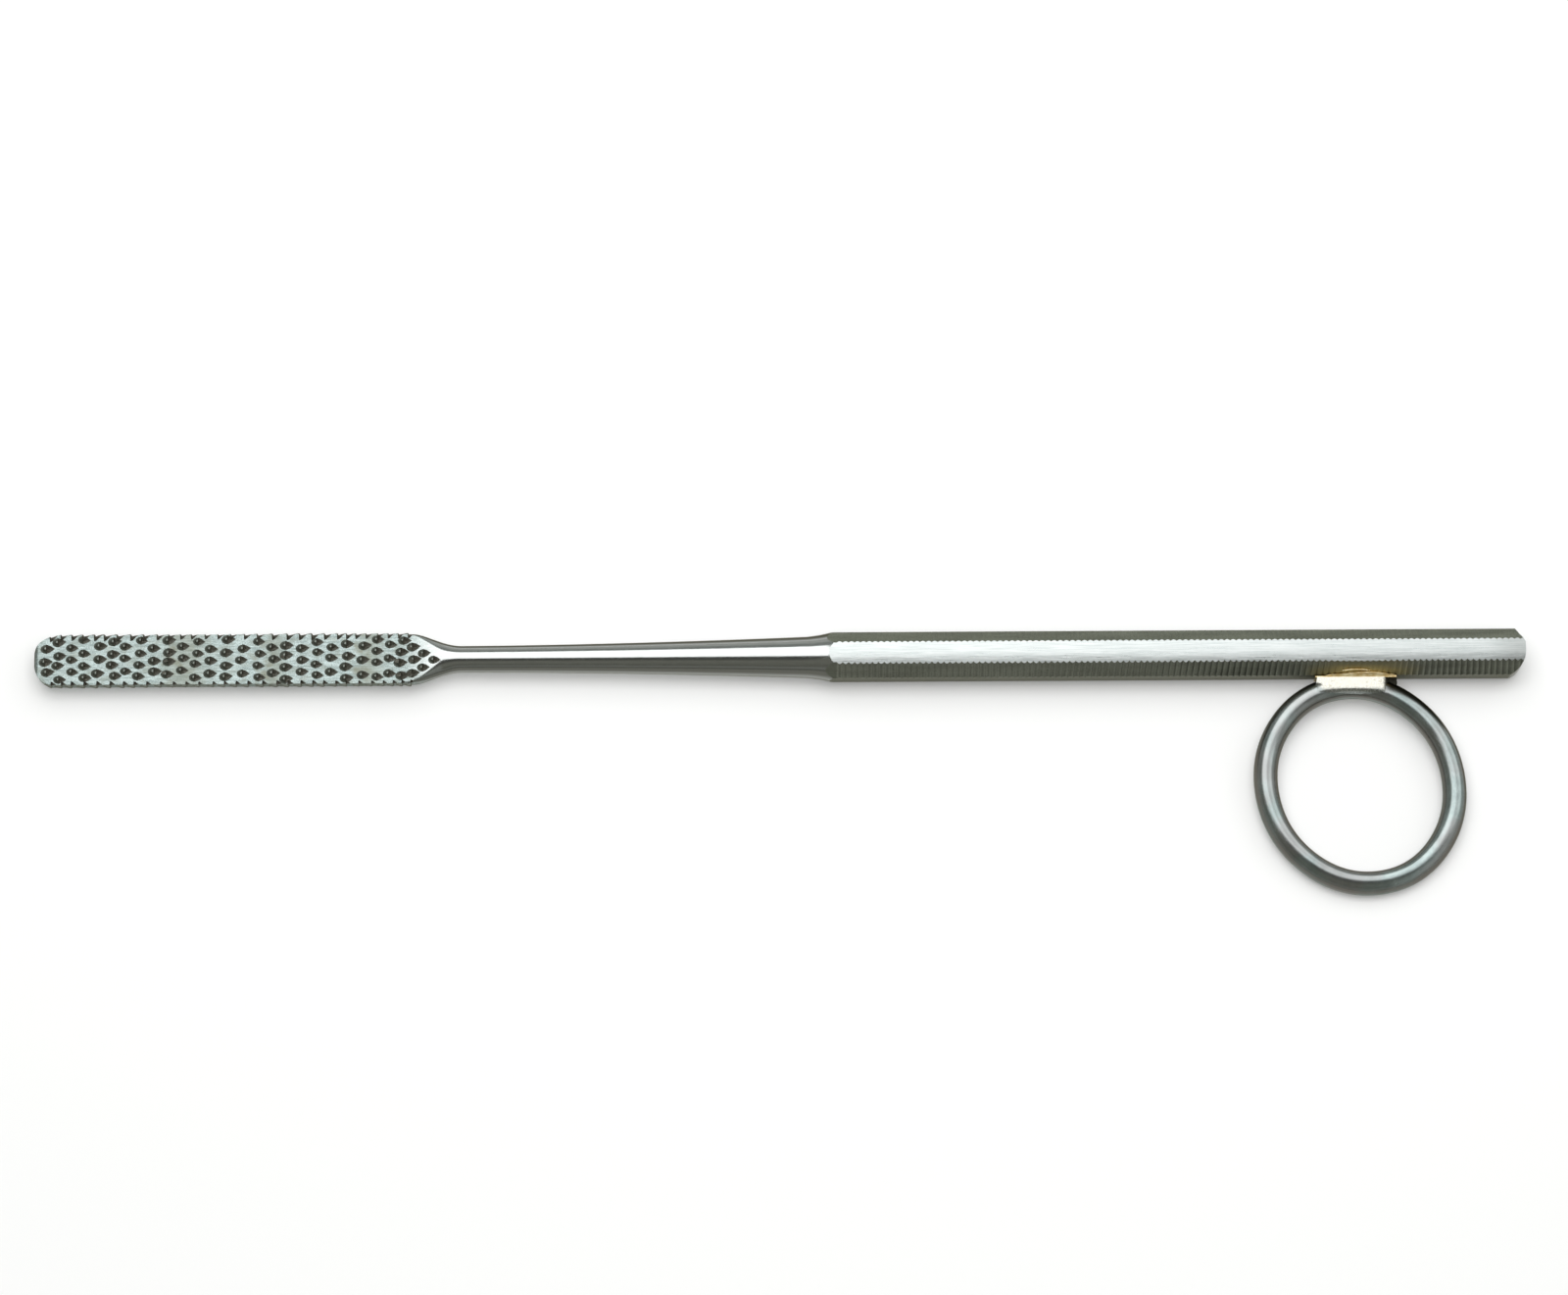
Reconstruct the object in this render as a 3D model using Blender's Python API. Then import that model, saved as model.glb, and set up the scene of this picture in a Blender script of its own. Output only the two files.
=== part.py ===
# Bone file: a forged rasp blade on a round shank and a serrated octagonal handle,
# with a finger ring brazed to the side of the handle.
# Metres, +Z up. The length runs along X, the tip at -X, and the ring lies toward -Y.

import math

import bmesh
import bpy
from mathutils import Vector

# Blade: a flat bar with a rounded tip, thickening into the round neck
BLADE_WIDTH = 0.0071
BLADE_THICKNESS = 0.00215
BLADE_LENGTH = 0.0536
TIP_CORNER_RADIUS = 0.0025
TIP_EDGE_THICKNESS = 0.0012
TIP_EDGE_ROUND = 0.0006
FLARE_LENGTH = 0.0066
FLARE_ROUNDING = 1.5
RUNOUT_BACK = 0.0040
RUNOUT_FRONT = 0.0039
RUNOUT_SHARPNESS = 3

# Shank, turned round, and the cove that leads up to the handle
NECK_DIAMETER = 0.00375
SHANK_DIAMETER = 0.00587
SHANK_LENGTH = 0.0494
SHANK_TAPER_POWER = 1.7
COVE_LENGTH = 0.0036

# Handle: an octagon with plain sides in line with the axes and serrated sides between them
HANDLE_LENGTH = 0.0965
HANDLE_ACROSS_FLATS = 0.00685
PLAIN_SIDE = 0.00327
STOCK_CLEARANCE = 0.00012
SERRATION_PITCH = 0.000835
SERRATION_DEPTH = 0.00021
SERRATION_START = 0.00008
END_FACE_RADIUS = 0.0014
END_ROUND_LENGTH = 0.0036
END_FACE_SHIFT = 0.0003

# Rasp teeth: a raised burr with a steep face toward the handle and a pointed pit behind it
TOOTH_WIDTH = 0.00112
BURR_LENGTH = 0.00076
BURR_HEIGHT = 0.00026
PIT_LENGTH = 0.00092
PIT_DEPTH = 0.00030
CUT_LEAN = 0.00006
CUT_BACK = 0.00004
PIT_SPREAD = 1.14
COLUMN_PITCH = 0.001935
ROW_PITCH = 0.00170
ROWS_WIDE = 4
FIRST_COLUMN = 0.00175
TOOTH_MARGIN = 0.00003
PUNCH_SCATTER = 0.00011
EDGE_TOOTH_PITCH = 0.00174
EDGE_TOOTH_HEIGHT = 0.00027
EDGE_RAMP_LENGTH = 0.00108
EDGE_RAMP_WIDTH = 0.00185
EDGE_NOTCH_DEPTH = 0.00034
EDGE_NOTCH_LENGTH = 0.00062

# Finger ring: an oval of round wire, flattened into a foot where it meets the handle
RING_WIRE = 0.00338
RING_LONG = 0.02864
RING_SHORT = 0.02624
RING_LONG_AXIS_DEG = -65.8
RING_FROM_END = 0.0233
RING_FROM_AXIS = 0.0188
FOOT_TIPWARD = 0.0062
FOOT_ENDWARD = 0.0052
FOOT_FLARE = 0.0005
FOOT_FLARE_HEIGHT = 0.0004
FOOT_DEPTH = 0.0019
FOOT_PROUD = 0.00005

# Brazing metal between the foot and the handle, with a pool on each neighbouring serrated side
BRAZE_FILM = 0.00014
POOL_REACH = 0.00105
POOL_RISE = 0.00018
POOL_HALF_LENGTH = 0.0047
POOL_SHIFT = 0.0009
POOL_EDGE_REACH = 0.00022
POOL_EDGE_RISE = 0.00003

# Fineness of the faceted surfaces
ARC_STEPS = 4
TIP_STEPS = 5
FLARE_STEPS = 11
SHANK_STEPS = 6
COVE_STEPS = 6
END_STEPS = 5
RING_STEPS = 60
WIRE_STEPS = 16
POOL_STEPS = 9
BURR_STEPS = 4

HALF_WIDTH = BLADE_WIDTH / 2
HALF_THICKNESS = BLADE_THICKNESS / 2
NECK_RADIUS = NECK_DIAMETER / 2
SHANK_RADIUS = SHANK_DIAMETER / 2
HALF_FLATS = HANDLE_ACROSS_FLATS / 2
HALF_PLAIN = PLAIN_SIDE / 2
CORNER_RADIUS = math.hypot(HALF_FLATS, HALF_PLAIN)

RUNOUT_START = BLADE_LENGTH - RUNOUT_BACK
RUNOUT_END = BLADE_LENGTH + RUNOUT_FRONT
NECK_X = BLADE_LENGTH + FLARE_LENGTH
COVE_X = NECK_X + SHANK_LENGTH
HANDLE_X = COVE_X + COVE_LENGTH
TOTAL_LENGTH = HANDLE_X + HANDLE_LENGTH
RING_X = TOTAL_LENGTH - RING_FROM_END
SEAT_Y = -(HALF_FLATS + BRAZE_FILM)

# On a round section the first point of each quarter stands half a step off the vertical.
HALF_STEP = math.pi / (4 * ARC_STEPS + 2)
STOCK_RADIUS = CORNER_RADIUS / math.cos(HALF_STEP) + STOCK_CLEARANCE
CUTTER_OVERRUN = 1.4
OPEN_SCALE = 4.0
COVE_OVERRUN = math.sqrt((STOCK_RADIUS - SHANK_RADIUS) / (CORNER_RADIUS - SHANK_RADIUS))
FLAT_ANGLE = 0.002
SQUARE_FACE = 0.99999


def clear_scene():
    for item in list(bpy.data.objects):
        bpy.data.objects.remove(item, do_unlink=True)


def smoothstep(value):
    t = min(max(value, 0.0), 1.0)
    return t * t * (3 - 2 * t)


def scatter(index, salt):
    """A repeatable offset between -1 and 1 for the hand-punched teeth."""
    return math.sin(12.9898 * index + 78.233 * salt + 1.7)


def ring_of(bm, points):
    return [bm.verts.new(point) for point in points]


def skin(bm, rings):
    """Join a row of equal rings with faces and close both ends."""
    for first, second in zip(rings, rings[1:]):
        count = len(first)
        for i in range(count):
            j = (i + 1) % count
            bm.faces.new((first[i], first[j], second[j], second[i]))
    bm.faces.new(rings[0])
    bm.faces.new(rings[-1])


def finish(bm, name, smooth=True):
    """Turn a closed shape into an object; faces square to the handle's sides stay flat shaded."""
    bmesh.ops.recalc_face_normals(bm, faces=bm.faces[:])
    for face in bm.faces:
        face.smooth = smooth and max(abs(part) for part in face.normal) < SQUARE_FACE
    mesh = bpy.data.meshes.new(name)
    bm.to_mesh(mesh)
    bm.free()
    item = bpy.data.objects.new(name, mesh)
    bpy.context.scene.collection.objects.link(item)
    return item


def metal(name, colour, roughness):
    material = bpy.data.materials.new(name)
    material.use_nodes = True
    shader = material.node_tree.nodes["Principled BSDF"]
    shader.inputs["Base Color"].default_value = (*colour, 1.0)
    shader.inputs["Roughness"].default_value = roughness
    shader.inputs["Metallic"].default_value = 1.0
    return material


def boolean(target, cutter, operation, crowded=False):
    """Join or cut with another solid, kept hidden as a wire shape. A crowded one runs into itself."""
    modifier = target.modifiers.new(cutter.name, "BOOLEAN")
    modifier.operation = operation
    modifier.solver = "EXACT"
    modifier.use_self = crowded
    modifier.object = cutter
    cutter.hide_render = True
    cutter.display_type = "WIRE"
    cutter.parent = target


# Outline of the blade, shank and stock, measured from the tip


def tip_inset(x):
    """How far the rounded corner of the tip stands in from the side of the blade."""
    if x >= TIP_CORNER_RADIUS:
        return 0.0
    rest = TIP_CORNER_RADIUS - x
    return TIP_CORNER_RADIUS - math.sqrt(TIP_CORNER_RADIUS**2 - rest**2)


def side_radius(x):
    """Half-width of the body without its teeth at a distance from the tip."""
    if x < BLADE_LENGTH:
        return HALF_WIDTH - tip_inset(x)
    if x < NECK_X:
        t = (x - BLADE_LENGTH) / FLARE_LENGTH
        return HALF_WIDTH - (HALF_WIDTH - NECK_RADIUS) * math.sin(math.pi * t / 2) ** FLARE_ROUNDING
    if x < COVE_X:
        t = (x - NECK_X) / SHANK_LENGTH
        return NECK_RADIUS + (SHANK_RADIUS - NECK_RADIUS) * t**SHANK_TAPER_POWER
    t = (x - COVE_X) / COVE_LENGTH
    return SHANK_RADIUS + (CORNER_RADIUS - SHANK_RADIUS) * t**2


def flat_height(x):
    """Height of the flat face, or of the topmost facet where the body is round."""
    if x < RUNOUT_START:
        edge = 1 - min(x / TIP_EDGE_ROUND, 1.0)
        return HALF_THICKNESS - (HALF_THICKNESS - TIP_EDGE_THICKNESS / 2) * edge**2
    if x < NECK_X:
        t = smoothstep((x - RUNOUT_START) / (NECK_X - RUNOUT_START))
        return HALF_THICKNESS + (NECK_RADIUS * math.cos(HALF_STEP) - HALF_THICKNESS) * t
    return side_radius(x) * math.cos(HALF_STEP)


def flat_half_width(x):
    """Half-width of the flat face, which closes in as a V where it runs out."""
    narrowest = side_radius(x) * math.sin(HALF_STEP)
    if x >= RUNOUT_END:
        return narrowest
    if x < RUNOUT_START:
        return side_radius(x)
    t = (x - RUNOUT_START) / (RUNOUT_END - RUNOUT_START)
    return narrowest + (side_radius(x) - narrowest) * (1 - t**RUNOUT_SHARPNESS)


def section(x, side, flat, height, shift=0.0):
    """Points round one cross-section: a flat on top and below, and arched sides between them."""
    low = math.sin(HALF_STEP)
    quarter = []
    for step in range(ARC_STEPS + 1):
        angle = HALF_STEP + (math.pi / 2 - HALF_STEP) * step / ARC_STEPS
        y = flat + (side - flat) * (math.sin(angle) - low) / (1 - low)
        quarter.append((y, height * math.cos(angle) / math.cos(HALF_STEP)))
    above = [(y, z) for y, z in quarter[:-1]]
    below = [(y, -z) for y, z in reversed(quarter[:-1])]
    right = above + [(quarter[-1][0], 0.0)] + below
    left = [(-y, -z) for y, z in right]
    return [Vector((x, y + shift, z)) for y, z in right + left]


def round_section(x, radius, shift=0.0):
    low = radius * math.sin(HALF_STEP)
    return section(x, radius, low, radius * math.cos(HALF_STEP), shift)


def body_stations():
    tip = [TIP_CORNER_RADIUS * (step / TIP_STEPS) ** 2 for step in range(TIP_STEPS + 1)]
    span = NECK_X - RUNOUT_START
    flare = [RUNOUT_START + span * step / FLARE_STEPS for step in range(FLARE_STEPS)]
    shank = [NECK_X + SHANK_LENGTH * step / SHANK_STEPS for step in range(SHANK_STEPS)]
    return tip + flare + shank


def make_stock():
    """The forging before the handle is milled: blade, shank, cove and round handle stock."""
    bm = bmesh.new()
    rings = []
    for x in body_stations():
        rings.append(section(x, side_radius(x), flat_half_width(x), flat_height(x)))
    for step in range(COVE_STEPS + 1):
        x = COVE_X + COVE_LENGTH * COVE_OVERRUN * step / COVE_STEPS
        rings.append(round_section(x, side_radius(x)))
    for step in range(END_STEPS + 1):
        lead = 1 - step / END_STEPS
        x = TOTAL_LENGTH - END_ROUND_LENGTH * lead**2
        rise = math.sqrt(1 - (1 - lead**2) ** 2)
        radius = END_FACE_RADIUS + (STOCK_RADIUS - END_FACE_RADIUS) * rise
        rings.append(round_section(x, radius, END_FACE_SHIFT * (1 - lead**2)))
    skin(bm, [ring_of(bm, points) for points in rings])
    bmesh.ops.recalc_face_normals(bm, faces=bm.faces[:])
    bmesh.ops.dissolve_limit(bm, angle_limit=FLAT_ANGLE, verts=bm.verts[:], edges=bm.edges[:])
    return finish(bm, "file_body")


# Milled octagon with its serrated sides


def octagon(x, depth, scale=1.0):
    """The handle's section with its serrated sides cut in by a depth."""
    plain = (HALF_PLAIN - depth * math.sqrt(2)) * scale
    flats = HALF_FLATS * scale
    corners = [(plain, flats), (flats, plain), (flats, -plain), (plain, -flats)]
    corners += [(-y, -z) for y, z in corners]
    return [Vector((x, y, z)) for y, z in corners]


def make_octagon():
    """The solid that the handle is milled down to; toward the tip it opens out clear of the blade."""
    bm = bmesh.new()
    middle = NECK_X + SHANK_LENGTH / 2
    rings = [octagon(-BLADE_WIDTH, 0.0, OPEN_SCALE), octagon(middle, 0.0, OPEN_SCALE)]
    rings.append(octagon(middle + SHANK_RADIUS, 0.0))
    first = HANDLE_X + SERRATION_START
    count = int(HANDLE_LENGTH / SERRATION_PITCH) + 1
    for groove in range(count):
        start = first + groove * SERRATION_PITCH
        rings.append(octagon(start, 0.0))
        rings.append(octagon(start + SERRATION_PITCH / 2, SERRATION_DEPTH))
    rings.append(octagon(first + count * SERRATION_PITCH, 0.0))
    skin(bm, [ring_of(bm, points) for points in rings])
    return finish(bm, "handle_milling", smooth=False)


# Rasp teeth


def face_teeth():
    """Places of the teeth on a flat face: staggered columns kept inside the face's outline."""
    places = []
    columns = int((RUNOUT_END - FIRST_COLUMN) / COLUMN_PITCH) + 1
    for column in range(columns):
        x = FIRST_COLUMN + column * COLUMN_PITCH
        rows = ROWS_WIDE - 1 if column % 2 == 0 else ROWS_WIDE
        for row in range(rows):
            y = (row - (rows - 1) / 2) * ROW_PITCH
            clear = flat_half_width(x) - TOOTH_WIDTH / 2 - TOOTH_MARGIN
            clear_tail = flat_half_width(x + PIT_LENGTH) - TOOTH_MARGIN
            if abs(y) <= clear and abs(y) <= clear_tail:
                places.append((x, y, column * ROWS_WIDE + row))
    return places


def face_seat(x, y, up):
    """A frame for one tooth on the upper (1) or lower (-1) flat face, following the face's rise."""
    height = flat_height(x)
    slope = (flat_height(x + PIT_LENGTH) - height) / PIT_LENGTH

    def seat(points):
        return [Vector((x + px, y + up * py, up * (height + slope * px + pz))) for px, py, pz in points]

    return seat


def edge_seat(x, side):
    """A frame for one tooth on the far (1) or near (-1) edge of the blade."""
    level = side_radius(x)

    def seat(points):
        return [Vector((x + px, side * (level + pz), -side * py)) for px, py, pz in points]

    return seat


def add_burr(bm, seat):
    """A blunt half cone, highest just behind the line where the pit shears it."""
    half = TOOTH_WIDTH / 2
    foot = []
    for step in range(BURR_STEPS + 1):
        angle = math.pi / 2 + math.pi * step / BURR_STEPS
        foot.append((BURR_LENGTH * math.cos(angle), half * math.sin(angle)))
    foot.append((PIT_LENGTH / 4, 0.0))
    base = ring_of(bm, seat([(px, py, -BURR_HEIGHT) for px, py in foot]))
    rim = ring_of(bm, seat([(px, py, 0.0) for px, py in foot]))
    crest = ring_of(bm, seat([(0.0, 0.0, BURR_HEIGHT)]))[0]
    bm.faces.new(base)
    for i in range(len(foot)):
        j = (i + 1) % len(foot)
        bm.faces.new((base[i], base[j], rim[j], rim[i]))
        bm.faces.new((rim[i], rim[j], crest))


def add_pit(bm, seat):
    """A point-down wedge: its near face shears the burr and its tail tapers along the face."""
    top = BURR_HEIGHT * CUTTER_OVERRUN
    grow = (top + PIT_DEPTH) / PIT_DEPTH
    half = TOOTH_WIDTH / 2 * PIT_SPREAD * grow
    near = CUT_LEAN - CUT_BACK
    brow = near - CUT_LEAN * grow
    points = [(near, 0.0, -PIT_DEPTH), (brow, -half, top), (brow, half, top)]
    points.append((near + (PIT_LENGTH - near) * grow, 0.0, top))
    apex, left, right, tail = ring_of(bm, seat(points))
    bm.faces.new((apex, left, right))
    bm.faces.new((apex, right, tail))
    bm.faces.new((apex, tail, left))
    bm.faces.new((left, tail, right))


def edge_teeth():
    """Distances from the tip of the teeth along the two edges."""
    first = TIP_CORNER_RADIUS
    count = int((BLADE_LENGTH - EDGE_NOTCH_LENGTH - first) / EDGE_TOOTH_PITCH) + 1
    return [first + index * EDGE_TOOTH_PITCH for index in range(count)]


def add_across(bm, seat, profile, width):
    """A bar of the given profile laid across the blade's edge."""
    skin(bm, [ring_of(bm, seat([(px, y, pz) for px, pz in profile])) for y in (-width / 2, width / 2)])


def add_edge_burr(bm, seat, drop):
    """A ramp that rises toward the handle; where the tip curves away it starts lower by a drop."""
    stern = EDGE_NOTCH_LENGTH / 2
    base = -drop - EDGE_TOOTH_HEIGHT
    profile = [(-EDGE_RAMP_LENGTH, base), (stern, base), (stern, EDGE_TOOTH_HEIGHT)]
    profile += [(0.0, EDGE_TOOTH_HEIGHT), (-EDGE_RAMP_LENGTH, -drop)]
    add_across(bm, seat, profile, EDGE_RAMP_WIDTH)


def add_edge_notch(bm, seat):
    """A V right across the edge behind each ramp."""
    top = EDGE_TOOTH_HEIGHT * CUTTER_OVERRUN
    grow = (top + EDGE_NOTCH_DEPTH) / EDGE_NOTCH_DEPTH
    profile = [(CUT_LEAN, -EDGE_NOTCH_DEPTH)]
    profile.append((CUT_LEAN + (EDGE_NOTCH_LENGTH - CUT_LEAN) * grow, top))
    profile.append((CUT_LEAN - CUT_LEAN * grow, top))
    add_across(bm, seat, profile, BLADE_THICKNESS * CUTTER_OVERRUN)


def make_teeth():
    """All the burrs as one set of solids and all the pits as another."""
    burrs = bmesh.new()
    pits = bmesh.new()
    for side in (1, -1):
        for x, y, index in face_teeth():
            across = y + PUNCH_SCATTER * scatter(index, side + 5)
            seat = face_seat(x + PUNCH_SCATTER * scatter(index, side), across, side)
            add_burr(burrs, seat)
            add_pit(pits, seat)
        for index, x in enumerate(edge_teeth()):
            along = x + PUNCH_SCATTER * scatter(index, side + 9)
            seat = edge_seat(along, side)
            drop = side_radius(along) - side_radius(along - EDGE_RAMP_LENGTH)
            add_edge_burr(burrs, seat, drop)
            add_edge_notch(pits, seat)
    return finish(burrs, "tooth_burrs", smooth=False), finish(pits, "tooth_pits", smooth=False)


def make_body(material):
    body = make_stock()
    body.data.materials.append(material)
    burrs, pits = make_teeth()
    boolean(body, make_octagon(), "INTERSECT")
    boolean(body, burrs, "UNION", crowded=True)
    boolean(body, pits, "DIFFERENCE", crowded=True)
    return body


# Finger ring


def make_ring(material):
    """An oval of round wire in the handle's plane, trimmed flat where it sits on the handle."""
    tilt = math.radians(RING_LONG_AXIS_DEG)
    long_axis = Vector((math.cos(tilt), math.sin(tilt), 0.0))
    short_axis = Vector((-math.sin(tilt), math.cos(tilt), 0.0))
    centre = Vector((RING_X, -RING_FROM_AXIS, 0.0))
    bm = bmesh.new()
    rings = []
    for step in range(RING_STEPS):
        turn = 2 * math.pi * step / RING_STEPS
        spine = centre + long_axis * (RING_LONG / 2 * math.cos(turn))
        spine += short_axis * (RING_SHORT / 2 * math.sin(turn))
        out = long_axis * (RING_SHORT * math.cos(turn)) + short_axis * (RING_LONG * math.sin(turn))
        out.normalize()
        points = []
        for side in range(WIRE_STEPS):
            angle = 2 * math.pi * side / WIRE_STEPS
            rise = Vector((0.0, 0.0, RING_WIRE / 2 * math.sin(angle)))
            points.append(spine + out * (RING_WIRE / 2 * math.cos(angle)) + rise)
        rings.append(ring_of(bm, points))
    for index, first in enumerate(rings):
        second = rings[(index + 1) % RING_STEPS]
        for i in range(WIRE_STEPS):
            j = (i + 1) % WIRE_STEPS
            bm.faces.new((first[i], first[j], second[j], second[i]))
    ring = finish(bm, "finger_ring")
    ring.data.materials.append(material)
    boolean(ring, make_foot(), "UNION")
    boolean(ring, make_seat_cut(), "DIFFERENCE")
    return ring


def make_foot():
    """The flattened block that fills in between the oval and the handle, spread at its seat."""
    half = RING_WIRE / 2 + FOOT_PROUD
    above = HALF_PLAIN
    plan = [(-FOOT_TIPWARD - FOOT_FLARE, above), (-FOOT_TIPWARD - FOOT_FLARE, SEAT_Y)]
    plan += [(-FOOT_TIPWARD, SEAT_Y - FOOT_FLARE_HEIGHT), (-FOOT_TIPWARD + FOOT_FLARE, SEAT_Y - FOOT_DEPTH)]
    plan += [(FOOT_ENDWARD - FOOT_FLARE, SEAT_Y - FOOT_DEPTH), (FOOT_ENDWARD, SEAT_Y - FOOT_FLARE_HEIGHT)]
    plan += [(FOOT_ENDWARD + FOOT_FLARE, SEAT_Y), (FOOT_ENDWARD + FOOT_FLARE, above)]
    bm = bmesh.new()
    skin(bm, [ring_of(bm, [Vector((RING_X + px, py, pz)) for px, py in plan]) for pz in (-half, half)])
    return finish(bm, "ring_foot", smooth=False)


def make_seat_cut():
    """A block covering everything on the handle's side of the seat."""
    span = RING_LONG + RING_WIRE
    bm = bmesh.new()
    bmesh.ops.create_cube(bm, size=1.0)
    bmesh.ops.scale(bm, vec=Vector((span, RING_LONG, RING_WIRE * 2)), verts=bm.verts[:])
    bmesh.ops.translate(bm, vec=Vector((RING_X, SEAT_Y + RING_LONG / 2, 0.0)), verts=bm.verts[:])
    return finish(bm, "ring_seat_cut", smooth=False)


# Brazing metal


def make_braze(material):
    """A thin film under the foot that swells into a lens on the serrated side above and below."""
    foot_top = RING_WIRE / 2
    start = RING_X - FOOT_TIPWARD
    length = FOOT_TIPWARD + FOOT_ENDWARD
    diagonal = math.sqrt(0.5)
    bm = bmesh.new()
    rings = []
    for step in range(POOL_STEPS + 1):
        x = start + length * step / POOL_STEPS
        away = min(abs(x - RING_X - POOL_SHIFT) / POOL_HALF_LENGTH, 1.0)
        swell = 1 - away**2
        reach = POOL_EDGE_REACH + (POOL_REACH - POOL_EDGE_REACH) * swell
        rise = POOL_EDGE_RISE + (POOL_RISE - POOL_EDGE_RISE) * swell
        upper = [(-HALF_FLATS, HALF_PLAIN)]
        upper.append((-HALF_FLATS + reach * diagonal, HALF_PLAIN + reach * diagonal))
        middle = reach * diagonal / 2
        upper.append((-HALF_FLATS + middle - rise * diagonal, HALF_PLAIN + middle + rise * diagonal))
        upper.append((SEAT_Y, foot_top))
        lower = [(y, -z) for y, z in reversed(upper)]
        rings.append(ring_of(bm, [Vector((x, y, z)) for y, z in upper + lower]))
    skin(bm, rings)
    seam = finish(bm, "braze_seam")
    seam.data.materials.append(material)
    return seam


# Resting pose: the ring's weight rolls the handle until the ring touches the ground


def reach_of_oval(direction):
    """Half the extent of the ring's centreline oval along a direction in its plane, in degrees."""
    angle = math.radians(direction - RING_LONG_AXIS_DEG)
    return math.hypot(RING_LONG / 2 * math.cos(angle), RING_SHORT / 2 * math.sin(angle))


def roll_angle():
    across = RING_FROM_AXIS + reach_of_oval(90.0) - HALF_PLAIN
    distance = math.hypot(across, HALF_FLATS)
    return math.atan2(HALF_FLATS, across) - math.asin(RING_WIRE / 2 / distance)


def make_root():
    """The empty that carries every piece: rolled to rest, centred on the overall box."""
    roll = roll_angle()
    far = HALF_WIDTH + EDGE_TOOTH_HEIGHT
    high = max(far * math.cos(roll), HALF_FLATS * math.cos(roll) + HALF_PLAIN * math.sin(roll))
    low = (RING_FROM_AXIS + reach_of_oval(90.0)) * math.cos(roll) + RING_WIRE / 2
    root = bpy.data.objects.new("root", None)
    bpy.context.scene.collection.objects.link(root)
    lift = HALF_FLATS * math.cos(roll) + HALF_PLAIN * math.sin(roll)
    root.location = (-TOTAL_LENGTH / 2, (low - high) / 2, lift)
    root.rotation_euler = (roll, 0.0, 0.0)
    return root


def main():
    clear_scene()
    satin_steel = metal("satin_steel", (0.56, 0.57, 0.56), 0.32)
    ring_steel = metal("ring_steel", (0.50, 0.50, 0.48), 0.30)
    brazing_brass = metal("brazing_brass", (0.55, 0.38, 0.16), 0.35)
    root = make_root()
    for piece in (make_body(satin_steel), make_ring(ring_steel), make_braze(brazing_brass)):
        piece.parent = root


main()
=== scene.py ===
# Bone file: a stainless rasp blade on a round shank, a serrated octagonal handle and a brazed finger ring.
# Every piece is drawn in millimetres along the file's own axes (x from the tip, ring toward -y),
# then laid down in the frame's metres by one matrix.

import math

import bmesh
import bpy
from mathutils import Matrix, Vector, noise


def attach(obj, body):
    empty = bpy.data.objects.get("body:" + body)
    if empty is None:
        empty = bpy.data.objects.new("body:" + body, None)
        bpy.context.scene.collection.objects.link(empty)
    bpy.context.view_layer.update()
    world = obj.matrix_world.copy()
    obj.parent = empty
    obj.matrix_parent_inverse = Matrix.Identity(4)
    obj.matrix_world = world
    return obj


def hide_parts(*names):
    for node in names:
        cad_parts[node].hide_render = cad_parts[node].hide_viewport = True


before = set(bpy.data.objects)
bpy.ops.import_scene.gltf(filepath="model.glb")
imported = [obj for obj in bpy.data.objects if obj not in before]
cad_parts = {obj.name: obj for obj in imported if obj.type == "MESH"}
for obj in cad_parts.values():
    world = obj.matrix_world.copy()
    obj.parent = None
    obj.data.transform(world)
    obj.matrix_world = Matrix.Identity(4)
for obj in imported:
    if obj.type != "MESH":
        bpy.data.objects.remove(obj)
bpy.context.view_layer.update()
print("frame loaded")

metresPerUnit = 0.001
rest = {
    "length": 209.7,           # overall, mm
    "across": 15.375,          # where the handle's axis lies across the frame, mm
    "lift": 3.51,              # and how high, mm
    "roll": math.radians(3.16897),
}
restPlace = Vector((-rest["length"] / 2, rest["across"], rest["lift"])) * metresPerUnit
layDown = (Matrix.Translation(restPlace) @ Matrix.Rotation(rest["roll"], 4, "X")
           @ Matrix.Scale(metresPerUnit, 4))


# Shader maths as plain expressions


class Wire:
    def __init__(self, graph, socket):
        self.graph = graph
        self.socket = socket

    def maths(self, operation, first, second):
        return self.graph.node("Math", {"operation": operation}, {0: first, 1: second})

    def __add__(self, other):
        return self.maths("ADD", self, other)

    def __sub__(self, other):
        return self.maths("SUBTRACT", self, other)

    def __rsub__(self, other):
        return self.maths("SUBTRACT", other, self)

    def __mul__(self, other):
        return self.maths("MULTIPLY", self, other)

    __radd__ = __add__
    __rmul__ = __mul__


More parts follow.
